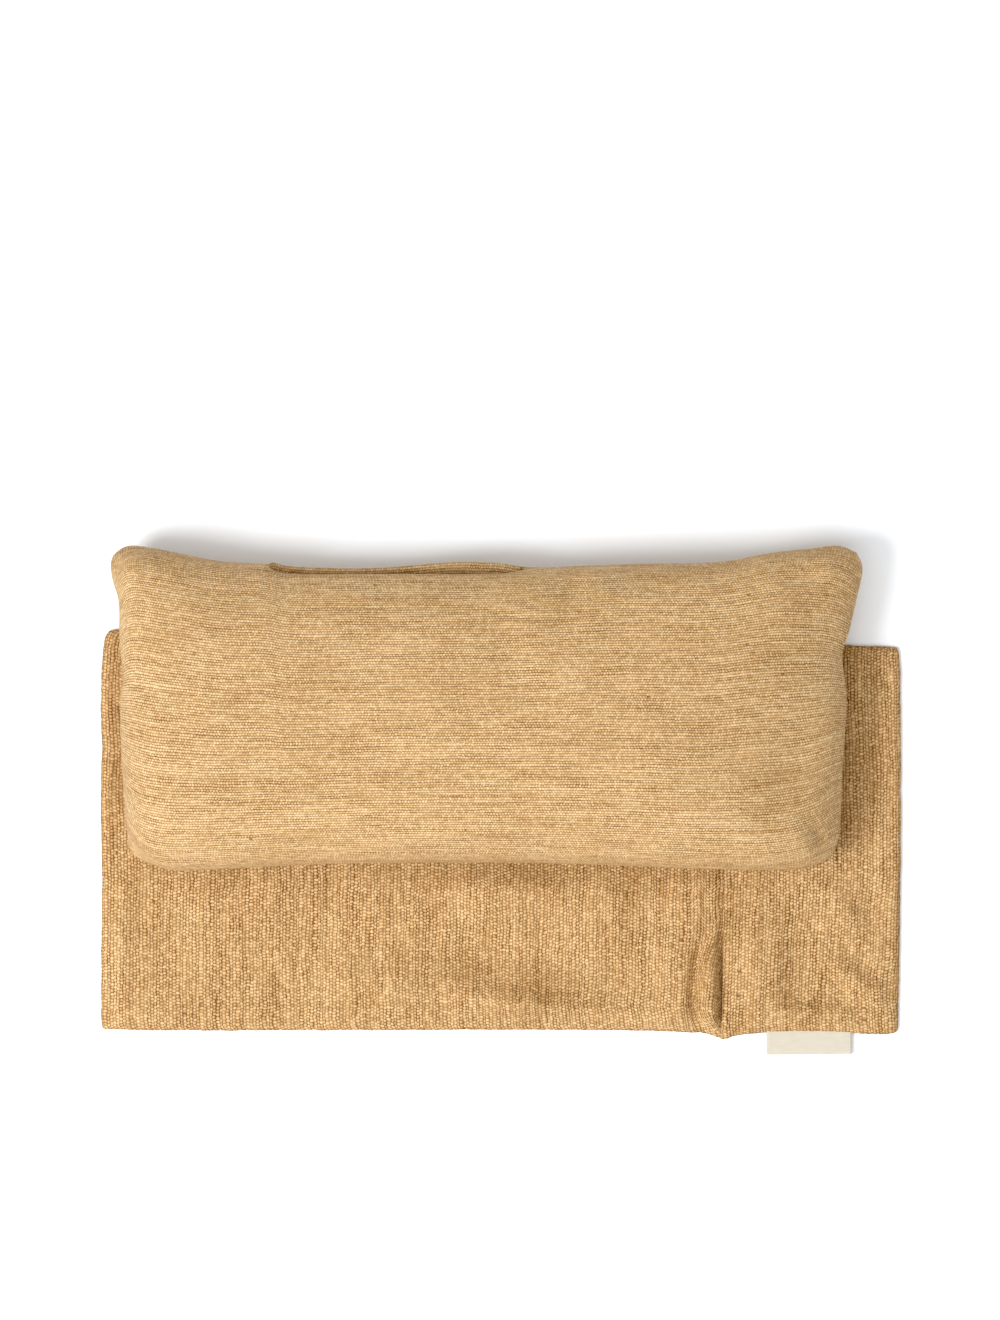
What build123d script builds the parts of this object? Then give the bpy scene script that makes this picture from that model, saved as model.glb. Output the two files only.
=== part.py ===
"""Eye pillow lying on its own empty envelope cover.

Millimetres. X runs along the pillow, Y across it, and Z up from the table. The origin is the middle of the
whole object's footprint, on the table. Every piece of cloth, thread, tape and filling is a solid of its own.
"""

from build123d import *
import math
import os

# ---------------------------------------------------------------- driving dimensions
CLOTH = 0.8  # thickness of the raw silk
THREAD = 0.4  # width of a sewn row of thread
THREAD_DEPTH = 0.3  # how deep a row sinks into the cloth
CLEARANCE = 0.3  # air between solids that only lie near each other

# the cover, three layers of cloth at most
COVER_HALF_LENGTH = 120.0
COVER_BOTTOM_LEFT = (-119.5, -68.2)
COVER_BOTTOM_RIGHT = (118.8, -69.4)
COVER_RIGHT = (COVER_HALF_LENGTH, -10.0)
COVER_TOP_RIGHT = (119.6, 46.3)
COVER_TOP_LEFT = (-117.5, 51.3)
COVER_LEFT = (-COVER_HALF_LENGTH, 0.0)
COVER_CORNER = 3.0
FLAP_EDGE = 66.5  # where the flap's free edge lies
FLAP_TOP = 47.6
FLAP_TIP = (67.1, -71.0)  # its lower corner sticks out of the bottom seam
FLAP_TIP_START = -20.0  # from here on down the free edge leans out to that corner
OVERLAP = 39.5  # how far the underlap runs on under the flap
FLAP_HEM = 11.0
UNDERLAP_HEM = 8.0
SEAM_INSET = 1.0  # the cover's seam, in from its edge

# the label, a folded tape caught in the bottom seam
LABEL_LEFT = 79.6
LABEL_WIDTH = 25.5
LABEL_THICKNESS = 0.6
LABEL_NEAR = -70.4
LABEL_FAR = -76.3

# the pillow: its outline at the seam as (x, y, radius of the rounding there), from the left ear
# along the back edge and down the right side
PILLOW_OUTLINE = [
    (-117.6, 77.5, 7.0),
    (-69.0, 70.2, 60.0),
    (0.0, 69.8, 200.0),
    (84.0, 73.8, 60.0),
    (109.6, 77.8, 7.0),
    (101.8, 42.0, 60.0),
    (102.9, 8.0, 40.0),
    (100.0, -20.8, 9.0),
    (0.0, -19.2, 200.0),
    (-111.6, -21.6, 9.0),
    (-114.4, 22.0, 90.0),
]
PILLOW_SEAM_HEIGHT = 14.0
PILLOW_THICKNESS = 36.0
# (share of the half's height, side inset, back inset, front inset) from the seam out to the flat cap
FRONT_STEPS = [
    (0.00, 0.0, 0.0, 0.0),
    (0.26, 2.0, 6.0, 0.3),
    (0.54, 6.0, 14.0, 1.8),
    (0.78, 13.0, 24.0, 5.5),
    (0.93, 23.0, 36.0, 12.0),
    (1.00, 38.0, 48.0, 24.0),
]
BACK_STEPS = [
    (0.00, 0.0, 0.0, 0.0),
    (0.45, 3.0, 10.0, 1.5),
    (0.82, 8.0, 20.0, 4.5),
    (1.00, 16.0, 32.0, 10.0),
]

# the turning gap in the back edge, and the stitches that close it
GAP_START = -72.0
GAP_END = 10.0
GAP_STITCHES = 16
STITCH_HEIGHT = 1.6
STITCH_DEPTH = 1.2

# dried flower buds in the grain
BUD_COUNT = 24
BUD_RADIUS = 0.9
BUD_LENGTH = 4.0
BUD_SPREAD = (78.0, 26.0)  # how far they lie from the pillow's middle, along and across
BUD_RISE = 3.0  # how high above the seam, and how much that varies
BUD_WAVE = 5.0
GOLDEN_ANGLE = 137.5

# ---------------------------------------------------------------- worked out
COVER_HEIGHT = 3 * CLOTH
PILLOW_BOTTOM = COVER_HEIGHT + CLEARANCE
PILLOW_TOP = PILLOW_BOTTOM + PILLOW_THICKNESS
OUTLINE_X = [x for x, y, radius in PILLOW_OUTLINE]
OUTLINE_Y = [y for x, y, radius in PILLOW_OUTLINE]
ROUNDING = [radius for x, y, radius in PILLOW_OUTLINE]
PILLOW_MIDDLE = (min(OUTLINE_X) + max(OUTLINE_X)) / 2
PILLOW_MIDDLE_Y = (min(OUTLINE_Y) + max(OUTLINE_Y)) / 2 - 2.0
PILLOW_HALF_LENGTH = (max(OUTLINE_X) - min(OUTLINE_X)) / 2
UNDERLAP_END = FLAP_EDGE + OVERLAP

os.makedirs("parts", exist_ok=True)


def finish(part, name):
    """Labels a finished piece and writes its file."""
    part.label = name
    export_step(part, f"parts/{name}.step")


def pillow_outline(side=0.0, back=0.0, front=0.0):
    """The pillow's outline drawn in by a distance at its ends, its back edge and its front edge."""
    low, high = min(OUTLINE_Y), max(OUTLINE_Y)
    across = (high - low - back - front) / (high - low)
    along = (PILLOW_HALF_LENGTH - side) / PILLOW_HALF_LENGTH
    corners = [
        (PILLOW_MIDDLE + (x - PILLOW_MIDDLE) * along, low + front + (y - low) * across)
        for x, y in zip(OUTLINE_X, OUTLINE_Y)
    ]
    return FilletPolyline(*corners, radius=[radius * across for radius in ROUNDING], close=True)


def section(height, inset, step):
    """One level of the pillow as a face, a further inset inside the given step."""
    _, side, back, front = step
    with BuildSketch(Plane.XY.offset(height)) as level:
        with BuildLine():
            pillow_outline(side + inset, back + inset, front + inset)
        make_face()
    return level.sketch


def levels(steps, cap_height, inset, cap_gap):
    """The faces of half a pillow, from the seam to its cap, for a loft."""
    rise = cap_height - PILLOW_SEAM_HEIGHT
    shrink = math.copysign(cap_gap, rise)
    faces = []
    for step in steps:
        height = PILLOW_SEAM_HEIGHT + rise * step[0]
        faces.append(section(height - (shrink if step[0] else 0.0), inset, step))
    return faces


def back_edge_y(x):
    """Where the pillow's back edge lies at one place along it, between the outline's points."""
    for (x0, y0, _), (x1, y1, _) in zip(PILLOW_OUTLINE, PILLOW_OUTLINE[1:]):
        if x0 <= x <= x1:
            return y0 + (y1 - y0) * (x - x0) / (x1 - x0)
    raise ValueError(f"{x} is not on the back edge")


# ---------------------------------------------------------------- pillow: seam thread
# One closed row of stitching between the two panels, open where the turning gap is.
with BuildPart() as pillow_seam_thread:
    with BuildSketch(Plane.XY.offset(PILLOW_SEAM_HEIGHT)):
        for inset, mode in ((THREAD / 2, Mode.ADD), (1.5 * THREAD, Mode.SUBTRACT)):
            with BuildLine():
                pillow_outline(inset, inset, inset)
            make_face(mode=mode)
    extrude(amount=THREAD_DEPTH)
    with Locations(((GAP_START + GAP_END) / 2, max(OUTLINE_Y), PILLOW_SEAM_HEIGHT)):
        Box(GAP_END - GAP_START, 20.0, 4.0, mode=Mode.SUBTRACT)

# ---------------------------------------------------------------- pillow: two cloth panels
with BuildPart() as pillow_front_panel:
    loft(levels(FRONT_STEPS, PILLOW_TOP, 0.0, 0.0), ruled=True)
    loft(levels(FRONT_STEPS, PILLOW_TOP, CLOTH, CLOTH), ruled=True, mode=Mode.SUBTRACT)
    add(pillow_seam_thread.part, mode=Mode.SUBTRACT)

with BuildPart() as pillow_back_panel:
    loft(levels(BACK_STEPS, PILLOW_BOTTOM, 0.0, 0.0), ruled=True)
    loft(levels(BACK_STEPS, PILLOW_BOTTOM, CLOTH, CLOTH), ruled=True, mode=Mode.SUBTRACT)

# ---------------------------------------------------------------- pillow: filling
# The grain rests on the back panel and keeps clear of the rest of the cloth.
with BuildPart() as linseed_filling:
    loft(levels(BACK_STEPS, PILLOW_BOTTOM, CLOTH + CLEARANCE, CLOTH), ruled=True)
    loft(levels(FRONT_STEPS, PILLOW_TOP, CLOTH + CLEARANCE, CLOTH + CLEARANCE), ruled=True)

with BuildPart() as lavender_flowers:
    for bud in range(BUD_COUNT):
        reach = math.sqrt((bud + 0.5) / BUD_COUNT)
        turn = math.radians(GOLDEN_ANGLE * bud)
        place = (
            PILLOW_MIDDLE + BUD_SPREAD[0] * reach * math.cos(turn),
            PILLOW_MIDDLE_Y + BUD_SPREAD[1] * reach * math.sin(turn),
            PILLOW_SEAM_HEIGHT + BUD_RISE + BUD_WAVE * math.sin(3 * turn),
        )
        with Locations(Location(place, (40.0 + 25.0 * math.sin(turn), 30.0, math.degrees(2 * turn)))):
            Cylinder(BUD_RADIUS, BUD_LENGTH)

# ---------------------------------------------------------------- pillow: stitches that close the turning gap
with BuildPart() as gap_closing_thread:
    for stitch in range(GAP_STITCHES):
        along = GAP_START + (GAP_END - GAP_START) * (stitch + 0.5) / GAP_STITCHES
        with Locations((along, back_edge_y(along) - STITCH_DEPTH / 4, PILLOW_SEAM_HEIGHT)):
            Box(THREAD, STITCH_DEPTH, STITCH_HEIGHT)

# ---------------------------------------------------------------- cover: seam thread
COVER_OUTLINE = [
    COVER_BOTTOM_LEFT,
    COVER_BOTTOM_RIGHT,
    COVER_RIGHT,
    COVER_TOP_RIGHT,
    COVER_TOP_LEFT,
    COVER_LEFT,
]
FLAP_OUTLINE = [
    (FLAP_EDGE, FLAP_TOP),
    (FLAP_EDGE, FLAP_TIP_START),
    FLAP_TIP,
    (FLAP_EDGE + FLAP_HEM, COVER_BOTTOM_RIGHT[1]),
    COVER_BOTTOM_RIGHT,
    COVER_RIGHT,
    COVER_TOP_RIGHT,
]


def sewn_corner(vertex):
    """True for the four outer corners, where two edges of the cover meet."""
    return min(
        math.dist((vertex.X, vertex.Y), corner)
        for corner in (COVER_BOTTOM_LEFT, COVER_BOTTOM_RIGHT, COVER_TOP_RIGHT, COVER_TOP_LEFT)
    ) < CLOTH


def cover_face(height, outline):
    """An outline as a face, with its sewn corners turned out round."""
    with BuildSketch(Plane.XY.offset(height)) as face:
        with BuildLine():
            Polyline(*outline, close=True)
        make_face()
        fillet(face.vertices().filter_by(sewn_corner), radius=COVER_CORNER)
    return face.sketch


with BuildPart() as cover_seam_thread:
    with BuildSketch(Plane.XY.offset(CLOTH - THREAD_DEPTH)):
        outer = cover_face(CLOTH - THREAD_DEPTH, COVER_OUTLINE)
        add(offset(outer, amount=-SEAM_INSET, mode=Mode.PRIVATE))
        add(offset(outer, amount=-SEAM_INSET - THREAD, mode=Mode.PRIVATE), mode=Mode.SUBTRACT)
    extrude(amount=THREAD_DEPTH)

# ---------------------------------------------------------------- cover: back panel
with BuildPart() as cover_back_panel:
    add(cover_face(0.0, COVER_OUTLINE))
    extrude(amount=CLOTH)
    add(cover_seam_thread.part, mode=Mode.SUBTRACT)


def hem_row(x, top):
    """A row of hem stitching up the cover at one x, sunk into cloth whose upper face is at top."""
    low = COVER_BOTTOM_RIGHT[1] + SEAM_INSET
    high = COVER_TOP_RIGHT[1] - SEAM_INSET
    with BuildPart() as row:
        with Locations((x, (low + high) / 2, top - THREAD_DEPTH / 2)):
            Box(THREAD, high - low, THREAD_DEPTH)
    return row.part


# ---------------------------------------------------------------- cover: underlap and its hem
underlap_hem_thread = hem_row(UNDERLAP_END - UNDERLAP_HEM, 2 * CLOTH)

with BuildPart() as cover_underlap_panel:
    add(cover_face(CLOTH, COVER_OUTLINE))
    extrude(amount=CLOTH)
    split(bisect_by=Plane.YZ.offset(UNDERLAP_END), keep=Keep.BOTTOM)
    add(underlap_hem_thread, mode=Mode.SUBTRACT)

# ---------------------------------------------------------------- cover: flap and its hem
# The flap lies on the underlap, and past the underlap's end it steps down onto the back panel.
flap_hem_thread = hem_row(FLAP_EDGE + FLAP_HEM, 3 * CLOTH)

with BuildPart() as cover_flap_panel:
    add(cover_face(CLOTH, FLAP_OUTLINE))
    extrude(amount=2 * CLOTH)
    with BuildSketch(Plane.XZ.offset(-COVER_HALF_LENGTH)):
        with BuildLine():
            Polyline(
                (FLAP_EDGE, 2 * CLOTH),
                (FLAP_EDGE, 3 * CLOTH),
                (UNDERLAP_END + CLOTH, 3 * CLOTH),
                (UNDERLAP_END + CLOTH, 2 * CLOTH),
                (COVER_HALF_LENGTH, 2 * CLOTH),
                (COVER_HALF_LENGTH, CLOTH),
                (UNDERLAP_END, CLOTH),
                (UNDERLAP_END, 2 * CLOTH),
                close=True,
            )
        make_face()
    extrude(amount=2 * COVER_HALF_LENGTH, mode=Mode.INTERSECT)
    add(flap_hem_thread, mode=Mode.SUBTRACT)

# ---------------------------------------------------------------- label
with BuildPart() as woven_label:
    with BuildSketch(Plane.YZ.offset(LABEL_LEFT)):
        with Locations(((LABEL_NEAR + LABEL_FAR) / 2, CLOTH)):
            Rectangle(LABEL_NEAR - LABEL_FAR, LABEL_THICKNESS)
    extrude(amount=LABEL_WIDTH)
    fold = woven_label.faces().sort_by(Axis.Y)[0]
    fillet(fold.edges().filter_by(Axis.X), radius=0.4 * LABEL_THICKNESS)

# ---------------------------------------------------------------- files
finish(pillow_front_panel.part, "pillow_front_panel")
finish(pillow_back_panel.part, "pillow_back_panel")
finish(linseed_filling.part, "linseed_filling")
finish(lavender_flowers.part, "lavender_flowers")
finish(pillow_seam_thread.part, "pillow_seam_thread")
finish(gap_closing_thread.part, "gap_closing_thread")
finish(cover_back_panel.part, "cover_back_panel")
finish(cover_underlap_panel.part, "cover_underlap_panel")
finish(cover_flap_panel.part, "cover_flap_panel")
finish(cover_seam_thread.part, "cover_seam_thread")
finish(underlap_hem_thread, "underlap_hem_thread")
finish(flap_hem_thread, "flap_hem_thread")
finish(woven_label.part, "woven_label")
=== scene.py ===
"""Eye pillow lying on its own empty envelope cover: the visual model, in metres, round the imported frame."""

import math

import bmesh
import bpy
import numpy as np
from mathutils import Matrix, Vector, noise


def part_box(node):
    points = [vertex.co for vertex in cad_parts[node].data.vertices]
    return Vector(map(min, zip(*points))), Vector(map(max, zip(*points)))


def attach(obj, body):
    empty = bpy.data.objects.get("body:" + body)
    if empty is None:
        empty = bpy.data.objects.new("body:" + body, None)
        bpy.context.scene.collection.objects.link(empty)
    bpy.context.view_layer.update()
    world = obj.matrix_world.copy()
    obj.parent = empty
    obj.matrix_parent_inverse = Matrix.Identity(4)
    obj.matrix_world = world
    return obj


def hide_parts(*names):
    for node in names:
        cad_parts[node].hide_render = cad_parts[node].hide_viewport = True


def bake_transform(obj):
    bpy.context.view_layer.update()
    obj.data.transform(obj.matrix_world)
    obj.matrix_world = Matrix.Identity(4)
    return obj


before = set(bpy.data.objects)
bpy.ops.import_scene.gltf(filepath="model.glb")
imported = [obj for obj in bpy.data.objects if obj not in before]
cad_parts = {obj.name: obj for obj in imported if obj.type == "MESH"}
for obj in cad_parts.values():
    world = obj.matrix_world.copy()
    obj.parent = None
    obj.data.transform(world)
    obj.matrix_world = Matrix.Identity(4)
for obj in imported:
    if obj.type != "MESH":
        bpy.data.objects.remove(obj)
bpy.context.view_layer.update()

# ---- driving dimensions, metres
MM = 0.001
CLOTH = 0.55 * MM  # thickness of one layer of raw silk

CROWN = 38.0 * MM  # height of the pillow's flat top above the table
SEAM_GAP = 0.7 * MM  # height between the folds of the two panels in the seam
PANEL_LENGTH = 232.0 * MM  # of the pillow's front as drawn, from widest line to widest line
PANEL_WIDTH = 116.0 * MM  # likewise, across the pillow
SKIRT_DEPTH = 7.5 * MM  # how far the front runs on down past its widest line
SKIRT_INWARD = 2.6 * MM  # how far it turns in on the way down
SKIRT_STEPS = 7
GAP_START = -67.0 * MM  # x where the stitches that close the turning gap start
GAP_LENGTH = 76.0 * MM
GAP_STITCHES = 16

COVER_CLOTH = (0.240, 0.120)  # the cover's back panel as cut, seam to seam
COVER_LEFT = -119.5 * MM  # mean x of the laid cover's left side
COVER_WIDTH = 239.0 * MM  # of the laid cover
COVER_DEPTH = 118.0 * MM  # of the laid cover, from its labelled edge to its far edge
FLAP_EDGE = 66.5 * MM  # x of the flap's folded edge
FLAP_HEM = 11.0 * MM  # from that edge to the hem's row of stitches
HEM_RUN = 13.0 * MM  # length of cloth that the hem takes up
UNDERLAP_END = 106.0 * MM  # x of the underlap's end, hidden under the flap
UNDERLAP_HEM = 8.0 * MM  # from that end back to its row of stitches

LABEL_LEFT = 79.6 * MM  # x of the label's two sides
LABEL_RIGHT = 105.1 * MM
LABEL_SEAM = -66.5 * MM  # y of the tape's two ends, sewn into the cover's seam
LABEL_OUT = -70.5 * MM  # y where the tape comes out of the seam
LABEL_FOLD = -76.1 * MM  # y of its fold
TAPE_THICKNESS = 0.22 * MM

# The turned-in edges of the pillow's two panels, as (inward, down) from the seam.
SEAM_TURN = [(0.12 * MM, 0.22 * MM), (0.45 * MM, 0.40 * MM), (1.2 * MM, 0.45 * MM), (4.5 * MM, 0.45 * MM)]
# The back panel's own in the turning gap, where it is rounder and dips under the front's.
GAP_TURN = [(0.35 * MM, 0.62 * MM), (1.4 * MM, 0.90 * MM), (2.8 * MM, 0.86 * MM), (4.2 * MM, 0.98 * MM)]

# The rest of this section is in millimetres.
# The flap's hem, as (inward, down) from its fold.
HEM_FOLD = [(-0.28, 0.18), (-0.42, 0.5), (-0.28, 0.85), (0.4, 1.05), (3.0, 1.1), (7.0, 1.1), (11.0, 1.1)]

# The pillow's outline seen from above, as control points of four smooth lines.
PILLOW_TOP_LINE = [
    (-115.0, 74.6), (-111.8, 76.8), (-105.5, 76.1), (-96, 74.2), (-86, 72.0), (-77, 71.3), (-69, 70.9),
    (-64, 69.1), (-45, 69.4), (0, 69.4), (20, 70.3), (45, 71.2), (66, 71.3), (80, 74.4), (92, 75.5),
    (101, 76.9), (106.3, 74.4),
]
PILLOW_BOTTOM_LINE = [
    (-109.0, -16.6), (-105.5, -18.6), (-99, -20.8), (-90, -20.6), (-75, -19.9), (-55, -18.6), (0, -18.1),
    (35, -19.1), (60, -20.2), (80, -20.6), (90, -20.5), (94.5, -18.6), (97.6, -17.6),
]
PILLOW_LEFT_LINE = [
    (-109.0, -16.6), (-111.3, -14.8), (-112.2, -4), (-113.6, 14), (-113.9, 29), (-112.7, 37), (-114.2, 48),
    (-113.9, 60), (-116.4, 66.5), (-116.8, 72.4), (-115.0, 74.6),
]
PILLOW_RIGHT_LINE = [
    (97.6, -17.6), (100.6, -14), (101.8, -4), (101.9, 9), (103.2, 24), (103.2, 34), (101.5, 44),
    (103.9, 50), (106.6, 62), (108.6, 70), (106.3, 74.4),
]

# The cover's outline, likewise.
COVER_TOP_LINE = [(-117.3, 51.0), (-115, 51.7), (-60, 50.2), (60, 47.6), (117.5, 46.4), (118.9, 46.0)]
COVER_BOTTOM_LINE = [
    (-119.5, -68.1), (-118.6, -68.6), (-80, -68.9), (0, -68.5), (40, -68.8), (55, -69.3), (57.5, -69.5),
    (59.5, -69.1), (63.5, -70.3), (67.0, -71.5), (67.3, -71.5), (70, -70.3), (77, -69.5), (90, -69.2),
    (104, -69.5), (115, -70.2), (118.2, -69.6), (118.8, -68.8),
]
COVER_LEFT_LINE = [
    (-119.5, -68.1), (-120.0, -66), (-119.7, -30), (-119.7, -14), (-120.2, 3), (-119.5, 14), (-120.2, 28),
    (-119.7, 42), (-119.0, 49.2), (-117.3, 51.0),
]
COVER_RIGHT_LINE = [
    (118.8, -68.8), (119.2, -66), (119.6, -40), (120.0, -10), (119.9, 20), (119.7, 44), (118.9, 46.0),
]

# Soft lumps and hollows in the cloth: height, (x, y), (half length, half width), and turn in degrees.
PILLOW_LUMPS = [
    (-1.3, (5, 41), (17, 6), -58),
    (-1.6, (88, 13), (12, 7), 70),
    (1.3, (35, 63), (10, 5), 0),
    (-1.1, (21, 60), (10, 2.6), 68),
    (0.7, (9, 62), (8, 4), 0),
    (-0.9, (91, 59), (13, 4.2), -52),
    (0.8, (85, 63), (12, 4), -45),
    (0.8, (100, 70), (12, 3), -25),
    (-0.8, (98, 63), (12, 3), -35),
    (-0.8, (-104, 66), (10, 3), 40),
    (0.7, (-100, 70), (10, 3), 25),
    (-1.5, (-110, 36), (6, 5), 0),
    (-2.0, (96, -12), (7, 2.0), -62),
    (0.9, (91, -13), (7, 3), -62),
    (0.9, (-80, -8), (26, 6), 0),
]
COVER_LUMPS = [
    (2.2, (5, -27), (27, 10), -4),
    (4.3, (4, -60.5), (22, 5.2), -9),
    (1.7, (-38, -55), (13, 5), -8),
    (-1.4, (2, -46), (30, 5), -6),
    (0.8, (-92, -44), (18, 5), 84),
]
FLAP_LUMPS = [
    (1.9, (103, -34), (15, 4.6), -50),
    (2.9, (108, -55.5), (13, 4.0), -38),
    (2.2, (88, -65), (11, 4.2), 12),
    (-1.2, (97, -56), (12, 4), -10),
]
GAP_WAVES = [
    (1.0, (-12, 0), (16, 1), 0),
    (-0.9, (-42, 0), (18, 1), 0),
]


# ---- maths
def fade(value, low, high):
    """0 below low, 1 above high, smooth between."""
    x = np.clip((value - low) / (high - low), 0.0, 1.0)
    return x * x * (3.0 - 2.0 * x)


def over(place, low, high):
    """0 where a place is below low, 1 where it is above high, both in millimetres, and smooth between."""
    return fade(place, low * MM, high * MM)


def paired(first, second):
    """A grid of pairs, from two arrays that broadcast to it."""
    return np.stack(np.broadcast_arrays(first, second), axis=-1)


def run_of(line):
    """The distance along a line of points from its start to each of them."""
    steps = np.linalg.norm(np.diff(line, axis=0), axis=1)
    return np.concatenate([[0.0], np.cumsum(steps)])


def unit(vector):
    """The vector, with length 1."""
    return np.array(vector) / np.linalg.norm(vector)


def points_at(line, known, wanted):
    """Points of a line at the wanted places, found between its own points, whose places are known."""
    return np.stack([np.interp(wanted, known, line[:, axis]) for axis in range(line.shape[1])], axis=-1)


def evenly(line, count):
    """A line as count evenly spaced points."""
    length = run_of(line)
    return points_at(line, length, np.linspace(0.0, length[-1], count))


def along(line, share):
    """Points of an evenly spaced line at shares 0 to 1 of its length."""
    return points_at(line, np.linspace(0.0, 1.0, len(line)), share)


def smooth_line(points, count=400, cuts=4):
    """The smooth line that control points in millimetres give, as count evenly spaced points in metres."""
    line = np.array(points, float) * MM
    for _ in range(cuts):
        cut = np.empty((2 * len(line) - 2, 2))
        cut[0::2] = 0.75 * line[:-1] + 0.25 * line[1:]
        cut[1::2] = 0.25 * line[:-1] + 0.75 * line[1:]
        line = np.vstack([line[:1], cut, line[-1:]])
    return evenly(line, count)


class Patch:
    """A four-sided patch between evenly spaced bottom, top, left and right lines, in 2 or 3 dimensions."""

    def __init__(self, bottom, top, left, right):
        self.bottom, self.top, self.left, self.right = bottom, top, left, right

    def at(self, across, up):
        """Points for shares 0 to 1 across (left to right) and up (bottom to top)."""
        x, y = across[..., None], up[..., None]
        sides = (1 - y) * along(self.bottom, across) + y * along(self.top, across)
        ends = (1 - x) * along(self.left, up) + x * along(self.right, up)
        corners = (
            (1 - x) * (1 - y) * self.bottom[0] + x * (1 - y) * self.bottom[-1]
            + (1 - x) * y * self.top[0] + x * y * self.top[-1]
        )
        return sides + ends - corners


def profile(count, half, rise, squareness, roundness):
    """The line of the cloth over the pillow's middle, evenly spaced: place from -1 to 1, and rise from 0 at
    its ends to 1 in the middle. squareness and roundness are (first half, second half)."""
    place = np.sin(np.linspace(-math.pi / 2, math.pi / 2, 4001))
    first = place < 0
    square = np.where(first, squareness[0], squareness[1])
    soft = np.where(first, roundness[0], roundness[1])
    lift = np.clip(1 - np.abs(place) ** square, 0, 1) ** soft
    length = run_of(np.column_stack([half * place, rise * lift]))
    even = np.linspace(0.0, length[-1], count)
    return np.interp(even, length, place), np.interp(even, length, lift)


def noise_field(x, y, size, seed):
    """Smooth noise from -1 to 1 with lumps about size millimetres across, the same on every run."""
    x_lumps, y_lumps = x / (size * MM), y / (size * MM)
    flat = [noise.noise(Vector((a, b, seed))) for a, b in zip(x_lumps.ravel(), y_lumps.ravel())]
    return np.array(flat).reshape(x.shape)


def dent(x, y, centre, size, turn):
    """A soft spot of height 1 at centre, size = (half length, half width), turned by degrees."""
    c, s = math.cos(math.radians(turn)), math.sin(math.radians(turn))
    dx, dy = x - centre[0] * MM, y - centre[1] * MM
    along_it = (c * dx + s * dy) / (size[0] * MM)
    across_it = (c * dy - s * dx) / (size[1] * MM)
    return np.exp(-(along_it ** 2) - across_it ** 2)


def lumps(x, y, table):
    """The height in millimetres that a table of soft spots adds up to."""
    return sum(height * dent(x, y, centre, size, turn) for height, centre, size, turn in table)


# ---- meshes
def make_piece(mesh, material, body, node):
    """One visible piece, named as its mesh. A piece given no body rides on none."""
    piece = bpy.data.objects.new(mesh.name, mesh)
    bpy.context.collection.objects.link(piece)
    mesh.materials.append(material)
    if body:
        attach(piece, body)
    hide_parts(node)
    return piece


def shade_smooth(mesh):
    """Shades every face of a mesh smooth."""
    mesh.polygons.foreach_set("use_smooth", np.ones(len(mesh.polygons), dtype=bool))
    mesh.update()


def joined(mesh):
    """Merges points that lie on each other, and shades the mesh smooth."""
    shape = bmesh.new()
    shape.from_mesh(mesh)
    bmesh.ops.remove_doubles(shape, verts=shape.verts, dist=0.004 * MM)
    shape.to_mesh(mesh)
    shape.free()
    shade_smooth(mesh)


def grid_faces(rows, columns):
    """The four-cornered faces between rows by columns of points."""
    corner = (np.arange(rows - 1)[:, None] * columns + np.arange(columns - 1)).ravel()
    return np.stack([corner, corner + 1, corner + columns + 1, corner + columns], axis=1)


def grid_mesh(name, points, cloth, face_up=True):
    """A mesh of a grid of points, with each one's place on the flat cloth, in metres, as its UV."""
    faces = grid_faces(*points.shape[:2])
    if not face_up:
        faces = faces[:, ::-1]
    mesh = bpy.data.meshes.new(name)
    mesh.from_pydata(points.reshape(-1, 3).tolist(), [], faces.tolist())
    vertex = np.empty(len(mesh.loops), dtype=np.int32)
    mesh.loops.foreach_get("vertex_index", vertex)
    layer = mesh.uv_layers.new(name="cloth")
    layer.data.foreach_set("uv", cloth.reshape(-1, 2)[vertex].ravel())
    joined(mesh)
    return mesh


def thicken(piece, thickness=CLOTH):
    """Gives a sheet its thickness, behind its face."""
    solid = piece.modifiers.new("thickness", "SOLIDIFY")
    solid.thickness = thickness
    solid.offset = -1.0


def tube_faces(base, rings, sides):
    """The faces of a tube whose points start at number base, closed at both ends."""
    faces = []
    for ring in range(rings - 1):
        for corner in range(sides):
            a = base + ring * sides + corner
            b = base + ring * sides + (corner + 1) % sides
            faces.append((a, b, b + sides, a + sides))
    faces.append(tuple(base + corner for corner in reversed(range(sides))))
    faces.append(tuple(base + (rings - 1) * sides + corner for corner in range(sides)))
    return faces


def ring_points(centre, widths, side, other):
    """Points round a centre, one at each width, in the plane of the directions side and other."""
    turns = [2 * math.pi * corner / len(widths) for corner in range(len(widths))]
    return [tuple(centre + width * (math.cos(turn) * side + math.sin(turn) * other))
            for width, turn in zip(widths, turns)]


def smooth_mesh(name, verts, faces):
    """A smoothly shaded mesh."""
    mesh = bpy.data.meshes.new(name)
    mesh.from_pydata(verts, [], faces)
    shade_smooth(mesh)
    return mesh


def stitches_mesh(name, stitches, radius):
    """One mesh of small stitches, each (start, end, up): thread from start to end, bulging to up."""
    rings, sides, sink = 7, 6, 0.35
    verts, faces = [], []
    for start, end, up in stitches:
        line = end - start
        side, up = unit(np.cross(line, up)), unit(up)
        faces += tube_faces(len(verts), rings, sides)
        for share in np.linspace(0.0, 1.0, rings):
            swell = math.sin(math.pi * (0.06 + 0.88 * share))
            centre = start + line * share + up * radius * (swell - sink)
            verts += ring_points(centre, [radius * swell ** 0.5] * sides, side, up)
    return smooth_mesh(name, verts, faces)


def make_stitches(name, stitches, radius, body, node):
    """One visible piece of stitches in the silk thread."""
    make_piece(stitches_mesh(name, stitches, radius), THREAD, body, node)


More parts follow.
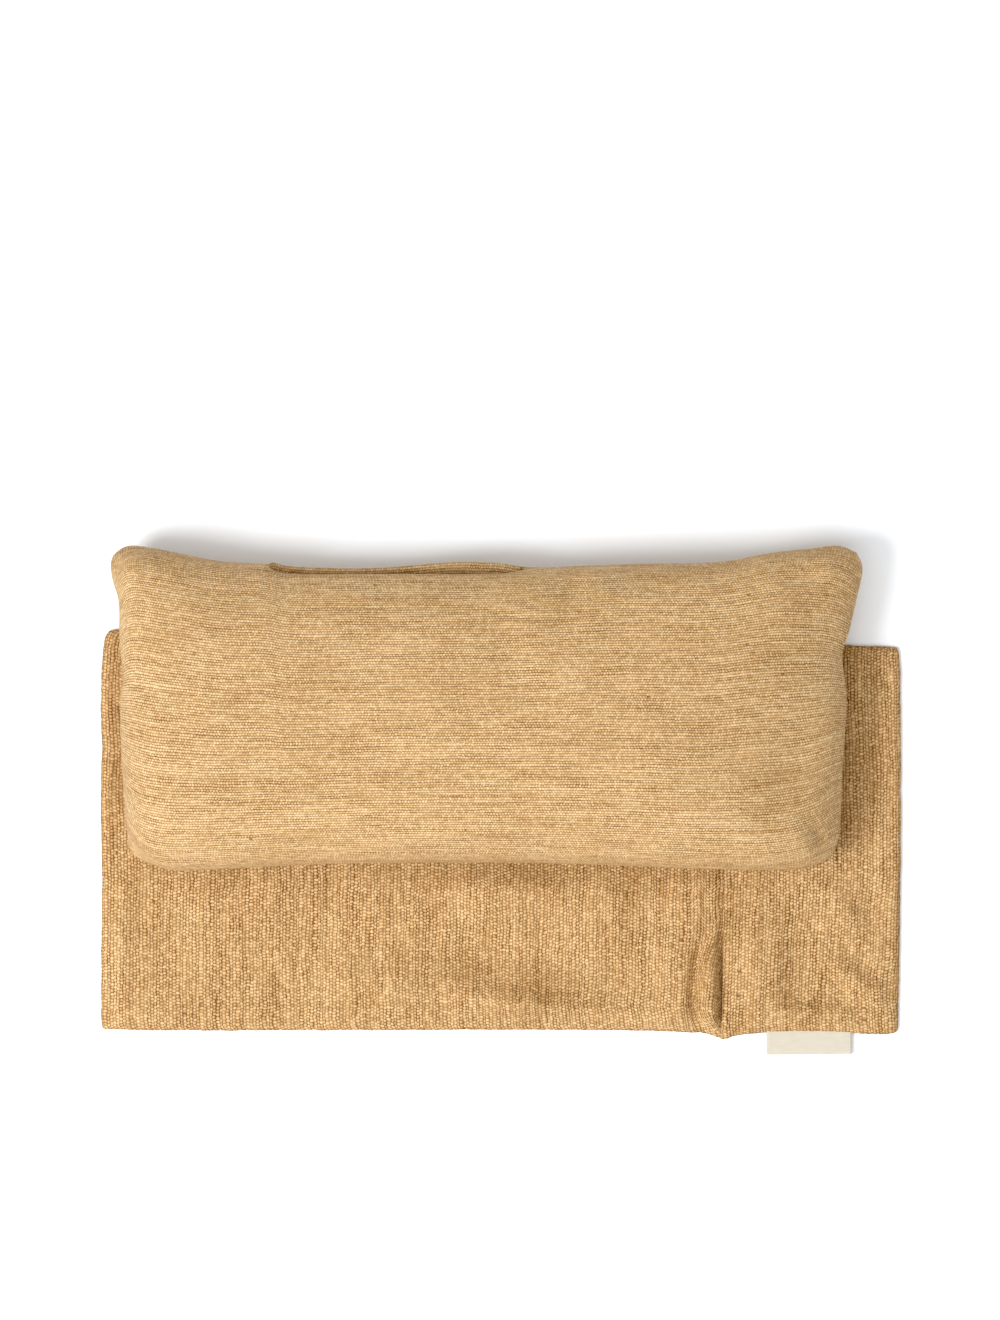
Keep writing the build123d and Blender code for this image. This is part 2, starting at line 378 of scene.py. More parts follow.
def stitch_row(line, pitch, share):
    """Stitches of a pitch along a line of points, each filling that share of its pitch and bulging up."""
    length = run_of(line)
    count = max(1, round(length[-1] / pitch))
    row = []
    for stitch in range(count):
        ends = np.array([stitch + 0.5 - share / 2, stitch + 0.5 + share / 2]) * length[-1] / count
        start, end = points_at(line, length, ends)
        row.append((start, end, (0, 0, 1)))
    return row


# ---- materials
class Nodes:
    """Short ways to build one material's node tree."""

    def __init__(self, name):
        self.material = bpy.data.materials.new(name)
        self.material.use_nodes = True
        self.tree = self.material.node_tree
        self.tree.nodes.clear()
        self.shader = self.tree.nodes.new("ShaderNodeBsdfPrincipled")
        output = self.tree.nodes.new("ShaderNodeOutputMaterial")
        self.tree.links.new(self.shader.outputs["BSDF"], output.inputs["Surface"])

    def put(self, value, socket):
        """Links an output, or sets a number or a colour."""
        if isinstance(value, bpy.types.NodeSocket):
            self.tree.links.new(value, socket)
        elif isinstance(value, tuple):
            socket.default_value = (value + (1.0,))[:len(socket.default_value)]
        else:
            socket.default_value = value

    def node(self, kind, **inputs):
        """A new node with the inputs that are given by name."""
        made = self.tree.nodes.new(kind)
        for name, value in inputs.items():
            self.put(value, made.inputs[name])
        return made

    def operation(self, kind, operation, *values):
        """The output of a new node that works on its first inputs."""
        made = self.tree.nodes.new(kind)
        made.operation = operation
        for place, value in enumerate(values):
            self.put(value, made.inputs[place])
        return made.outputs[0]

    def math(self, operation, *values):
        return self.operation("ShaderNodeMath", operation, *values)

    def add(self, a, b):
        return self.math("ADD", a, b)

    def mul(self, a, b):
        return self.math("MULTIPLY", a, b)

    def total(self, first, *rest):
        for value in rest:
            first = self.add(first, value)
        return first

    def centred(self, value):
        """A value from 0 to 1, moved to lie round 0."""
        return self.add(value, -0.5)

    def cloth(self):
        """(u, v) places on the flat cloth, in metres."""
        place = self.tree.nodes.new("ShaderNodeUVMap")
        place.uv_map = "cloth"
        parts = self.node("ShaderNodeSeparateXYZ", Vector=place.outputs[0])
        return parts.outputs[0], parts.outputs[1]

    def place(self):
        """The place in the object's own space, in metres."""
        return self.node("ShaderNodeTexCoord").outputs["Object"]

    def vector(self, x, y=0.0, z=0.0):
        return self.node("ShaderNodeCombineXYZ", X=x, Y=y, Z=z).outputs[0]

    def noise(self, vector, scale=1.0, detail=2.0):
        """Smooth noise from 0 to 1."""
        made = self.node("ShaderNodeTexNoise", Vector=vector, Scale=scale, Detail=detail, Roughness=0.5)
        return made.outputs["Fac"]

    def patches(self, x, y, seed=0.0, detail=2.0):
        """Smooth noise in long patches. x and y are each (value, patches to a unit of it)."""
        return self.noise(self.vector(self.mul(*x), self.mul(*y), seed), detail=detail)

    def random(self, *whole_numbers):
        """An even random number from 0 to 1 for each set of up to three whole numbers."""
        return self.node("ShaderNodeTexWhiteNoise", Vector=self.vector(*whole_numbers)).outputs["Value"]

    def span(self, value, low, high, to_low=0.0, to_high=1.0):
        """value taken from low..high to to_low..to_high, held at the ends."""
        made = self.tree.nodes.new("ShaderNodeMapRange")
        ends = {"Value": value, "From Min": low, "From Max": high, "To Min": to_low, "To Max": to_high}
        for name, number in ends.items():
            self.put(number, made.inputs[name])
        return made.outputs[0]

    def mix(self, share, a, b):
        """Colour a where share is 0, b where it is 1."""
        made = self.tree.nodes.new("ShaderNodeMix")
        made.data_type = "RGBA"
        self.put(share, made.inputs["Factor"])
        self.put(a, made.inputs["A"])
        self.put(b, made.inputs["B"])
        return next(output for output in made.outputs if output.type == "RGBA")

    def scaled(self, colour, factor):
        """colour times factor."""
        made = self.tree.nodes.new("ShaderNodeVectorMath")
        made.operation = "SCALE"
        self.put(colour, made.inputs[0])
        self.put(factor, made.inputs["Scale"])
        return made.outputs[0]

    def tinted(self, colour, tint):
        """colour times tint, channel by channel."""
        return self.operation("ShaderNodeVectorMath", "MULTIPLY", colour, tint)

    def finish(self, colour, height, depth, roughness, sheen, specular):
        """The finished material, bumped by height from 0 to 1 times depth."""
        self.put(colour, self.shader.inputs["Base Color"])
        bump = self.node("ShaderNodeBump", Height=height, Strength=1.0, Distance=depth)
        self.tree.links.new(bump.outputs[0], self.shader.inputs["Normal"])
        self.put(roughness, self.shader.inputs["Roughness"])
        self.shader.inputs["Sheen Weight"].default_value = sheen
        self.shader.inputs["Sheen Roughness"].default_value = 0.5
        self.shader.inputs["Specular IOR Level"].default_value = specular
        return self.material


def weave_cells(n, u, v, rib, bead, knobs):
    """The rib and the bead that a place lies in, as row and column, and how far it is into each. Every
    second rib is shifted by half a bead, and the yarns wander and lie closer in some places."""
    wander = n.centred(n.patches((u, 60.0), (v, 110.0)))
    packed = n.centred(n.patches((v, 520.0), (u, 14.0), 3.0, detail=1.0))
    wobble = n.centred(n.patches((u, 600.0), (v, 600.0), 6.0, detail=1.0))
    across = n.total(n.mul(v, 1.0 / rib), n.mul(wander, 3.0 * knobs), n.mul(packed, 3.2 * knobs),
                     n.mul(wobble, 1.5 * knobs))
    row = n.math("FLOOR", across)
    half_shift = n.mul(n.math("PINGPONG", row, 1.0), 0.5)
    slip = n.centred(n.patches((u, 330.0), (row, 3.7), detail=1.0))
    lengthwise = n.total(n.mul(u, 1.0 / bead), half_shift, n.mul(n.random(row, 7.0), 0.25),
                         n.mul(slip, 2.2 * knobs))
    column = n.math("FLOOR", lengthwise)
    return row, column, n.math("FRACT", across), n.math("FRACT", lengthwise)


def bead_dome(n, cells, thick, gaps, knobs):
    """The height of each bead of yarn, from 0 in the gaps between them to 1 on top."""
    row, column, in_row, in_column = cells
    shift = n.centred(n.random(row, column, 5.0))
    across_bead = n.total(n.mul(in_row, 2.0), -1.0, n.mul(shift, 1.3 * knobs))
    along_bead = n.add(n.mul(in_column, 2.0), -1.0)
    slimness = n.span(n.random(row, column, 2.0), 0.0, 1.0, gaps[0] + 0.7 * knobs, gaps[0] - 0.5 * knobs)
    flatness = n.span(thick, 0.0, 1.0, gaps[1] + 0.17, gaps[1] - 0.17)
    away = n.add(n.mul(n.mul(across_bead, across_bead), slimness),
                 n.mul(n.mul(along_bead, along_bead), flatness))
    return n.math("SQRT", n.math("MAXIMUM", n.math("SUBTRACT", 1.0, n.mul(away, 0.9)), 0.0))


def yarn_light(n, u, v, cells, slub, fibres, streaks, clouds):
    """Brightness from 0 to 1: it differs from bead to bead, from yarn to yarn, and over the cloth."""
    row, column = cells[:2]
    cloud = n.centred(n.patches((u, 30.0), (v, 70.0), 5.0, detail=3.0))
    long_streak = n.centred(n.patches((u, 26.0), (v, 800.0), 8.0))
    return n.span(n.total(
        0.5,
        n.mul(n.centred(n.random(row, column, 2.0)), 0.50),
        n.mul(n.centred(n.random(row, 7.0)), 0.12 * streaks),
        n.mul(n.centred(slub), 0.8 * streaks),
        n.mul(long_streak, 0.75 * streaks),
        n.mul(cloud, clouds),
        n.mul(fibres, 0.30),
    ), 0.0, 1.0)


def woven_silk(name, rib, bead, knobs, bright, dark, gap, gaps, streaks, clouds, depth, upright=False):
    """Raw silk in plain weave: ribs of beads, with thick and thin yarn. rib and bead are the pitches across
    and along the ribs, knobs is how uneven the yarn is, and gaps how wide it parts across and along them.
    upright makes the ribs run up the cloth instead of across it."""
    # gap is the dark colour painted as shade between the beads and ribs; bright and dark are the yarn's own
    # tones.
    n = Nodes(name)
    u, v = n.cloth()
    if upright:
        u, v = v, u
    cells = weave_cells(n, u, v, rib, bead, knobs)
    row, column = cells[:2]
    slub = n.patches((u, 70.0), (row, 5.31), 1.0, detail=3.0)
    thick = n.span(slub, 0.32, 0.68)
    fibres = n.centred(n.patches((u, 1500.0), (v, 8000.0), 4.0))
    dome = bead_dome(n, cells, thick, gaps, knobs)
    fullness = n.total(0.65, n.mul(thick, 0.3), n.mul(n.random(row, column, 2.0), 0.3))
    height = n.total(n.mul(dome, fullness), n.mul(fibres, 0.10))
    tone = n.mix(yarn_light(n, u, v, cells, slub, fibres, streaks, clouds), dark, bright)
    # Some beads are a little redder or yellower than others.
    warm = n.patches((u, 90.0), (v, 260.0), 13.0)
    tone = n.mix(n.span(warm, 0.35, 0.65, 0.0, 0.35), tone, n.tinted(tone, (1.05, 0.92, 0.86)))
    # Painted shade: where a bead's height is low, between beads and between ribs, the colour turns to the
    # dark gap colour. Where the noise says the ribs lie close there is little of it, and where they part a
    # dark line of painted shade shows between them.
    line = n.patches((u, 85.0), (row, 2.9), 9.0, detail=3.0)
    close = n.span(line, 0.43, 0.62, 0.52, 0.0)
    shadowed = n.span(line, 0.43, 0.62, 0.31, 0.47)
    tone = n.mix(n.math("MAXIMUM", n.span(dome, shadowed, 0.96), close), gap, tone)
    # A few dark bits of cocoon are spun into the yarn.
    fleck_length = 0.9 * MM
    fleck_place = n.math("FLOOR", n.mul(u, 1 / fleck_length))
    fleck = n.math("GREATER_THAN", n.random(fleck_place, row, 11.0), 0.9995)
    tone = n.mix(n.mul(fleck, 0.6), tone, (0.12, 0.05, 0.018))
    rough = n.span(dome, 0.3, 1.0, 0.85, 0.62)
    return n.finish(tone, height, depth, rough, sheen=0.0, specular=0.22)


def label_weave():
    """Cream tape, woven fine and close, with nothing written on it."""
    n = Nodes("label_tape")
    u, v = n.cloth()
    warp_pitch, weft_pitch = 0.32 * MM, 0.256 * MM
    warp = n.math("SINE", n.mul(u, 2 * math.pi / warp_pitch))
    weft = n.math("SINE", n.mul(v, 2 * math.pi / weft_pitch))
    height = n.mul(n.add(warp, n.mul(weft, 0.6)), 0.3)
    cloud = n.centred(n.patches((u, 300.0), (v, 900.0)))
    # Painted shade: the tops of the threads are painted a little lighter and the dips between them a little
    # darker; the cloud is tone that differs at random.
    light = n.total(0.93, n.mul(height, 0.05), n.mul(cloud, 0.16))
    cream = n.scaled((0.615, 0.565, 0.465), light)
    return n.finish(cream, height, 0.04 * MM, 0.7, sheen=0.1, specular=0.25)


def spun_thread():
    """Twisted sewing thread."""
    n = Nodes("silk_thread")
    place = n.place()
    twist = n.node("ShaderNodeTexWave", Vector=place, Scale=900.0, Distortion=1.0).outputs["Fac"]
    cloud = n.centred(n.noise(place, 600.0))
    # Painted shade: the ridges of the twist are painted lighter and its grooves darker; the cloud is tone
    # that differs at random.
    light = n.total(0.8, n.mul(twist, 0.25), n.mul(cloud, 0.3))
    return n.finish(n.scaled((0.50, 0.29, 0.12), light), twist, 0.05 * MM, 0.55, sheen=0.1, specular=0.35)


def seeds():
    """Brown, glossy flax seeds, packed close."""
    n = Nodes("linseed")
    seeds_to_a_metre = (420.0, 260.0, 420.0)
    stretched = n.node("ShaderNodeMapping", Vector=n.place(), Scale=seeds_to_a_metre).outputs[0]
    cells = n.node("ShaderNodeTexVoronoi", Vector=stretched, Scale=1.0)
    near = cells.outputs["Distance"]
    shade = n.node("ShaderNodeSeparateColor", Color=cells.outputs["Color"]).outputs[0]
    height = n.math("SUBTRACT", 1.0, n.mul(near, 1.3))
    tone = n.mix(n.span(shade, 0.0, 1.0), (0.16, 0.06, 0.022), (0.34, 0.16, 0.06))
    # Painted shade: each seed is painted darker towards its edge, where it meets the next.
    tone = n.scaled(tone, n.span(near, 0.35, 0.8, 1.0, 0.25))
    return n.finish(tone, height, 0.7 * MM, 0.32, sheen=0.0, specular=0.5)


def dried_buds():
    """Dusty purple-grey flower buds, cloudy in colour."""
    n = Nodes("lavender")
    cloud = n.noise(n.place(), 500.0, detail=4.0)
    tone = n.mix(cloud, (0.10, 0.07, 0.20), (0.24, 0.20, 0.30))
    return n.finish(tone, cloud, 0.3 * MM, 0.85, sheen=0.2, specular=0.2)


def floor_paper():
    """A smooth, very light, slightly cool surface."""
    n = Nodes("studio_floor")
    cloud = n.noise(n.place(), 3.0)
    tone = n.scaled((0.925, 0.95, 0.975), n.span(cloud, 0.0, 1.0, 0.995, 1.0))
    return n.finish(tone, cloud, 0.0, 0.9, sheen=0.0, specular=0.0)


# In both silks gap is painted shade: the dark colour put in the low places between beads and ribs.
PILLOW_SILK = woven_silk(
    "pillow_silk", rib=0.84 * MM, bead=0.87 * MM, knobs=0.24, bright=(0.83, 0.596, 0.329),
    dark=(0.47, 0.290, 0.118), gap=(0.18, 0.083, 0.024), gaps=(0.78, 0.62), streaks=0.85, clouds=0.45,
    depth=0.20 * MM,
)
COVER_SILK = woven_silk(
    "cover_silk", rib=1.00 * MM, bead=0.98 * MM, knobs=0.38, bright=(0.83, 0.568, 0.293),
    dark=(0.42, 0.240, 0.090), gap=(0.17, 0.074, 0.020), gaps=(0.70, 0.74), streaks=0.5, clouds=0.60,
    depth=0.26 * MM, upright=True,
)
THREAD = spun_thread()
TAPE = label_weave()
LINSEED = seeds()
LAVENDER = dried_buds()


# ---- pillow
FRONT_COLUMNS, FRONT_ROWS = 232, 126
pillow_plan = Patch(smooth_line(PILLOW_BOTTOM_LINE), smooth_line(PILLOW_TOP_LINE),
                    smooth_line(PILLOW_LEFT_LINE), smooth_line(PILLOW_RIGHT_LINE))


def cover_top(x, y):
    """Height of the cover's top where the pillow lies on it, and of the table beyond the cover."""
    layers = 1.30 * MM + 1.2 * MM * over(x, 64, 67) - 0.6 * MM * over(x, 77, 80)
    far_edge = 48.9 * MM - 0.0211 * x
    return 0.12 * MM + layers * (1 - fade(y, far_edge - 2 * MM, far_edge + 9 * MM))


def seam_height(across, up):
    """Height of the pillow's widest line: higher along the top edge, low at the four ears."""
    ears = np.abs(2 * across - 1) ** 8 * np.abs(2 * up - 1) ** 2
    return (14.0 + 3.4 * up - (0.5 + 3.4 * up) * ears) * MM


def turning_gap(x):
    """1 where the turning gap's back edge stands out beyond the front one, 0 elsewhere."""
    return over(x, -70.5, -67.5) * (1 - over(x, -2, 12))


def below_ears(y):
    """1 along the pillow's lower side and ends, fading to 0 at the upper ears."""
    return 1 - over(y, 25, 66)


def pillow_lumps(x, y):
    """Soft lumps and hollows of the filled cloth, in metres."""
    uneven = 0.55 * noise_field(x, y, 34, 4.0) + 0.22 * noise_field(x, y, 13, 9.0)
    uneven += 0.05 * noise_field(x, y, 3, 2.0)
    return (uneven + lumps(x, y, PILLOW_LUMPS)) * MM


def corner_full(a, b):
    """The smaller of two rises from 0 to 1, rounded where they are equal, so that a corner stays full."""
    power = 2.5
    p, q = np.clip(a, 1e-9, 1) ** power, np.clip(b, 1e-9, 1) ** power
    return (p * q / (p + q - p * q)) ** (1 / power)


def side_normals(line, sign):
    """Level unit directions square to a line: to its left where sign is 1, to its right where it is -1."""
    step = np.gradient(line[:, :2], axis=0)
    step /= np.linalg.norm(step, axis=1, keepdims=True)
    return sign * np.stack([-step[:, 1], step[:, 0]], axis=-1)


def inward_of(points):
    """Level unit directions that point inward from the sides of a grid, for its outermost points."""
    inward = np.zeros(points.shape[:2] + (2,))
    inward[0] = side_normals(points[0], 1)
    inward[-1] = side_normals(points[-1], -1)
    inward[:, 0] += side_normals(points[:, 0], -1)
    inward[:, -1] += side_normals(points[:, -1], 1)
    return inward / np.maximum(np.linalg.norm(inward, axis=-1, keepdims=True), 1e-9)


def widened(points, cloth, skirt, turned):
    """Extends a grid beyond its sides, first by the skirt's steps, which fade out towards the upper ears,
    then by the turned edge's. Each is (inward, down) from the side. At a corner each level is one point."""
    rows, columns = points.shape[:2]
    count = len(skirt) + len(turned)
    row, column = np.arange(-count, rows + count), np.arange(-count, columns + count)
    edge_row, edge_column = np.clip(row, 0, rows - 1), np.clip(column, 0, columns - 1)
    side_y, side_x = np.sign(edge_row - row)[:, None], np.sign(edge_column - column)
    level = np.maximum(np.abs(edge_row - row)[:, None], np.abs(edge_column - column))
    grid, flat, inward = (table[edge_row][:, edge_column] for table in (points, cloth, inward_of(points)))
    start = (0.0, 0.0)
    skirt_end = skirt[-1] if skirt else start
    skirt_steps = np.array([start] + skirt + [skirt_end] * len(turned))
    turned_steps = np.array([start] * (len(skirt) + 1) + turned)
    moved, run = np.zeros_like(grid), np.zeros(level.shape)
    for steps, share in ((skirt_steps, below_ears(grid[..., 1])), (turned_steps, 1.0)):
        moved[..., :2] += inward * (steps[level, 0] * share)[..., None]
        moved[..., 2] -= steps[level, 1] * share
        run += run_of(steps)[level] * share
    return grid + moved, flat - paired(side_x, side_y) * run[..., None]


def panel_shares(across_line, up_line):
    """Shares across and up, and lift from 0 to 1, for a panel's grid. Its sides are evenly spaced, and its
    middle is spaced as the two profiles over it are."""
    across_place, across_rise = across_line
    up_place, up_rise = (values[:, None] for values in up_line)
    s = np.linspace(-1, 1, across_place.size)
    t = np.linspace(-1, 1, up_place.size)[:, None]
    a = s + (across_place - s) * fade(up_rise, 0.0, 0.75)
    b = t + (up_place - t) * fade(across_rise, 0.0, 0.75)
    return (a + 1) / 2, (b + 1) / 2, corner_full(across_rise, up_rise)


def flat_places(rows, columns, length, width):
    """Evenly spaced places on a flat panel, round its middle."""
    return paired(np.linspace(-length / 2, length / 2, columns),
                  np.linspace(-width / 2, width / 2, rows)[:, None])


def front_surface():
    """Points of the front panel, widest line to widest line, and their places on the flat cloth."""
    across_line = profile(FRONT_COLUMNS, 111 * MM, 20 * MM, (11.0, 3.4), (0.5, 0.68))
    up_line = profile(FRONT_ROWS, 45 * MM, 19 * MM, (3.1, 2.5), (0.5, 0.52))
    across, up, lift = panel_shares(across_line, up_line)
    plan = pillow_plan.at(across, up)
    x, y = plan[..., 0], plan[..., 1]
    base = seam_height(across, up)
    z = base + (CROWN - base) * lift + pillow_lumps(x, y) * fade(lift, 0.0, 0.5)
    # Along the turning gap the front's fold lies a little further in.
    near_top = fade(np.linspace(-1, 1, FRONT_ROWS)[:, None], 0.86, 1.0)
    y = y - 1.7 * MM * turning_gap(x) * near_top
    cloth = flat_places(FRONT_ROWS, FRONT_COLUMNS, PANEL_LENGTH, PANEL_WIDTH)
    return np.stack([x, y, z], axis=-1), cloth


def back_surface(front):
    """Points of the back panel: an edge just below the front's, and a base that sags onto the cover."""
    rows, columns = front.shape[:2]
    across_line = profile(columns, 111 * MM, 10 * MM, (14.0, 14.0), (0.5, 0.5))
    up_line = profile(rows, 45 * MM, 12 * MM, (6.0, 5.0), (0.5, 0.5))
    low, top, left, right = (evenly(side, 500) for side in (front[0], front[-1], front[:, 0], front[:, -1]))
    # In the turning gap the back's edge stands out beyond the front's, a little wavy, and lies lower.
    gap = turning_gap(top[:, 0])
    top[:, 1] += (2.9 + lumps(top[:, 0], 0.0, GAP_WAVES)) * MM * gap
    top[:, 2] -= 0.8 * MM * gap
    across, up, lift = panel_shares(across_line, up_line)
    points = Patch(low, top, left, right).at(across, up)
    points[..., 2] -= SEAM_GAP
    base = cover_top(points[..., 0], points[..., 1]) + CLOTH * 0.3
    points[..., 2] += (base - points[..., 2]) * lift
    return points, flat_places(rows, columns, PANEL_LENGTH + 2 * SKIRT_DEPTH, PANEL_WIDTH + SKIRT_DEPTH)


def turn_gap_under(points, places):
    """Gives the back's turned edge its own shape in the turning gap."""
    gap = turning_gap(points[-1, :, 0])
    for row, (inward, down), (gap_inward, gap_down) in zip(range(-len(GAP_TURN), 0), SEAM_TURN, GAP_TURN):
        points[row, :, 1] += (inward - gap_inward) * gap
        points[row, :, 2] += (gap_down - down) * gap
        places[row, :, 1] += (gap_inward - inward) * gap


def make_pillow():
    """The two panels. Returns the front's and the back's grids of points, from seam to seam."""
    angles = [math.pi / 2 * (step + 1) / SKIRT_STEPS for step in range(SKIRT_STEPS)]
    skirt = [(SKIRT_INWARD * (1 - math.cos(angle)), SKIRT_DEPTH * math.sin(angle)) for angle in angles]
    front_points, front_places = widened(*front_surface(), skirt, SEAM_TURN)
    turned = len(SEAM_TURN)
    front = front_points[turned:-turned, turned:-turned]
    back, back_cloth = back_surface(front)
    turned_up = [(inward, -down) for inward, down in SEAM_TURN]
    back_points, back_places = widened(back, back_cloth, [], turned_up)
    turn_gap_under(back_points, back_places)
    front_mesh = grid_mesh("pillow_front_cloth", front_points, front_places)
    back_mesh = grid_mesh("pillow_back_cloth", back_points, back_places, face_up=False)
    for mesh, node in ((front_mesh, "pillow_front_panel"), (back_mesh, "pillow_back_panel")):
        piece = make_piece(mesh, PILLOW_SILK, "pillow", node)
        thicken(piece)
    return front, back


def make_filling(front, back):
    """The grain: one closed lumpy form just inside the two panels."""
    coarse = 3
    kept = [np.unique(np.append(np.arange(0, count, coarse), count - 1)) for count in front.shape[:2]]
    top, low = front[np.ix_(*kept)], back[np.ix_(*kept)]
    low[[0, -1]] = top[[0, -1]]
    low[:, [0, -1]] = top[:, [0, -1]]
    centre = np.array([-5, 26, 17]) * MM
    verts = np.concatenate([top.reshape(-1, 3), low.reshape(-1, 3)])
    inner = centre + (verts - centre) * np.array([0.955, 0.90, 0.88])
    upper = grid_faces(*top.shape[:2])
    lower = upper[:, ::-1] + top.shape[0] * top.shape[1]
    mesh = bpy.data.meshes.new("linseed_grain")
    mesh.from_pydata(inner.tolist(), [], upper.tolist() + lower.tolist())
    joined(mesh)
    piece = make_piece(mesh, LINSEED, "pillow", "linseed_filling")


def make_buds():
    """Dried buds among the grain, spread evenly by the golden angle as the part's are."""
    count, golden_angle = 24, 137.508
    rings, sides = 8, 8
    length = 5.5 * MM
    low, high = (np.array(corner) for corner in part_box("lavender_flowers"))
    centre, half = (low + high) / 2, (high - low) / 2
    verts, faces = [], []
    for bud in range(count):
        reach, turn = math.sqrt((bud + 0.5) / count), math.radians(golden_angle * bud)
        spread = np.array([reach * math.cos(turn), reach * math.sin(turn), 0.4 * math.sin(3 * turn)])
        place = centre + half * 0.93 * spread
        axis = unit([math.cos(2 * turn), math.sin(2 * turn), 0.45])
        side = unit(np.cross(axis, (0, 0, 1)))
        other = np.cross(side, axis)
        faces += tube_faces(len(verts), rings, sides)
        for share in np.linspace(0.0, 1.0, rings):
            width = (0.35 + 1.05 * math.sin(math.pi * min(1.0, 0.12 + 0.86 * share)) ** 0.8) * MM
            ribbed = [width * (1.0 + 0.12 * (corner % 2)) for corner in range(sides)]
            verts += ring_points(place + axis * (share - 0.5) * length, ribbed, side, other)
    mesh = smooth_mesh("lavender_buds", verts, faces)
    make_piece(mesh, LAVENDER, "pillow", "lavender_flowers")


def round_the_edge(grid):
    """The outermost points of a grid as one closed line."""
    return np.concatenate([grid[0], grid[1:, -1], grid[-1, -2::-1], grid[-2:0:-1, 0], grid[:1, 0]])


def make_seam_stitches(front):
    """The machine stitches inside the seam's fold, all round but for the turning gap."""
    inset = 1.1 * MM
    inward = np.zeros(front.shape)
    inward[0, :, 1] += 1
    inward[-1, :, 1] -= 1
    inward[:, 0, 0] += 1
    inward[:, -1, 0] -= 1
    seam = round_the_edge(front) + round_the_edge(inward) * inset
    seam[:, 2] -= SEAM_GAP / 2
    in_gap = (turning_gap(seam[:, 0]) > 0.02) & (seam[:, 1] > 50 * MM)
    before, _, after = np.split(seam, np.flatnonzero(np.diff(in_gap)) + 1)
    stitches = stitch_row(before, 2.4 * MM, 0.85) + stitch_row(after, 2.4 * MM, 0.85)
    make_stitches("pillow_seam_stitches", stitches, 0.18 * MM, "pillow", "pillow_seam_thread")


def make_gap_stitches(front):
    """The slanted hand stitches that close the turning gap."""
    stitches = []
    for stitch in range(GAP_STITCHES):
        x = GAP_START + GAP_LENGTH * (stitch + 0.5) / GAP_STITCHES
        top = front[-1, int(np.argmin(np.abs(front[-1, :, 0] - x)))]
        start = top + np.array([-0.6, -0.5, -0.3]) * MM
        end = top + np.array([0.6, 0.8, -0.75]) * MM
        stitches.append((start, end, (0, 0.6, 0.8)))
    make_stitches("gap_closing_stitches", stitches, 0.15 * MM, "pillow", "gap_closing_thread")


# ---- cover
cover_plan = Patch(smooth_line(COVER_BOTTOM_LINE), smooth_line(COVER_TOP_LINE),
                   smooth_line(COVER_LEFT_LINE), smooth_line(COVER_RIGHT_LINE))


def share_at(x):
    """The share across the cover, from 0 to 1, of a place x."""
    return (x - COVER_LEFT) / COVER_WIDTH


def outside_pillow(x, y):
    """0 under the pillow, where its weight presses the cover flat, and 1 well clear of it."""
    below = 1 - over(y, -27, -16)
    left = 1 - over(x, -119, -115)
    right = over(x, 103, 109)
    beyond = over(y, 70, 80)
    return np.maximum.reduce([below, left, right, beyond])


def cover_waves(x, y):
    """How far the empty cover's upper cloth stands up from flat, in metres."""
    uneven = 1.1 + 0.8 * noise_field(x, y, 27, 2.0) + 0.25 * noise_field(x, y, 9, 6.0)
    return np.maximum(uneven + lumps(x, y, COVER_LUMPS), 0.0) * MM


def edge_distance(across, up):
    """Distance to the nearest side of the cover, in metres."""
    return np.minimum.reduce([across * COVER_CLOTH[0], (1 - across) * COVER_CLOTH[0],
                              up * COVER_DEPTH, (1 - up) * COVER_DEPTH])


def cover_sheet(columns, rows, height, across_from=0.0, across_to=1.0):
    """Points of one layer of the cover between two shares across, at heights from height(x, y, edge)."""
    across = np.broadcast_to(np.linspace(across_from, across_to, columns), (rows, columns))
    up = np.broadcast_to(np.linspace(0.0, 1.0, rows)[:, None], (rows, columns))
    plan = cover_plan.at(across, up)
    x, y = plan[..., 0], plan[..., 1]
    edge = edge_distance(across, up)
    uneven = 0.22 * MM * noise_field(x, y, 7, 15.0) + 0.12 * MM * noise_field(x, y, 2.4, 18.0)
    uneven *= 1 - over(edge, 0, 6)
    x, y = x + uneven * np.sign(x), y + uneven * np.sign(y)
    return np.stack([x, y, height(x, y, edge)], axis=-1)


def laid_out(points, left_edge=0.0):
    """Places on the flat cloth of a grid of points, by the distances along its rows and its columns."""
    across = np.linalg.norm(np.diff(points, axis=1), axis=-1)
    up = np.linalg.norm(np.diff(points, axis=0), axis=-1)
    u = np.cumsum(np.pad(across, ((0, 0), (1, 0))), axis=1) + left_edge - COVER_CLOTH[0] / 2
    v = np.cumsum(np.pad(up, ((1, 0), (0, 0))), axis=0) - COVER_CLOTH[1] / 2
    return np.stack([u, v], axis=-1)


def swollen_seam(edge):
    """1 over the seam allowance inside the cover's edge, 0 elsewhere."""
    return over(edge, 0, 1.2) * (1 - over(edge, 6, 9))


def back_height(x, y, edge):
    """The back's upper face: on the table, and turned up a little at the seam."""
    return 0.05 * MM + 0.62 * MM * (1 - over(edge, 0, 1.2)) ** 2


def gaping(y):
    """How far the envelope's mouth stands open along its edge, from 0 to 1."""
    return over(-y, 31, 57) * (1 - over(-y, 63, 69))


